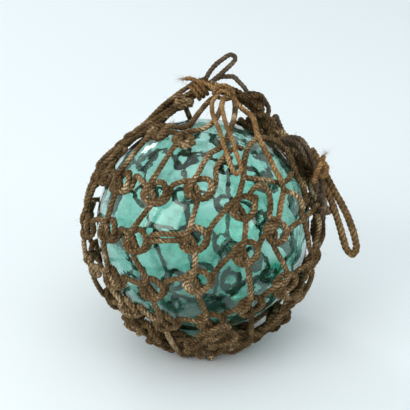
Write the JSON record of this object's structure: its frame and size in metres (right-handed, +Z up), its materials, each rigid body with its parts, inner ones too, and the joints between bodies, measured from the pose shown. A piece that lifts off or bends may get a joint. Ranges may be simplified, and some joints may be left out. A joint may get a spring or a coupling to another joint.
{
  "type": "netted glass float ball",
  "caption": "Sealed sea-green glass float ball, 300 mm across, in a knotted tarred rope net that is drawn up and lashed at the top, with a hanging cord loop and a rope becket at the side.",
  "frame": {"origin": "on the ground, under the middle of the glass ball, in the plane of the flat underside of the net's bunched start", "axes": "+Z up; the part is seen from -Y, with the net's gathered mouth behind the top and the becket hanging on the right, at +X"},
  "size_m": [0.3911, 0.341, 0.3889],
  "materials": {
    "sea_green_glass": "hand-blown glass, clear aqua to sea green, wavy, glossy, with a little dried dirt",
    "net_rope": "laid hemp cord, three strands, tarred brown, dry and fuzzy",
    "golden_cord": "laid fibre cord, golden brown, frayed",
    "becket_rope": "coarse laid fibre rope, brown with a grey-green tint"
  },
  "bodies": {
    "root": {"glass_ball": "sea_green_glass", "rope_net": "net_rope", "lashing_cord": "golden_cord", "hanging_bight": "golden_cord", "becket_loop": "becket_rope"}
  },
  "joints": []
}
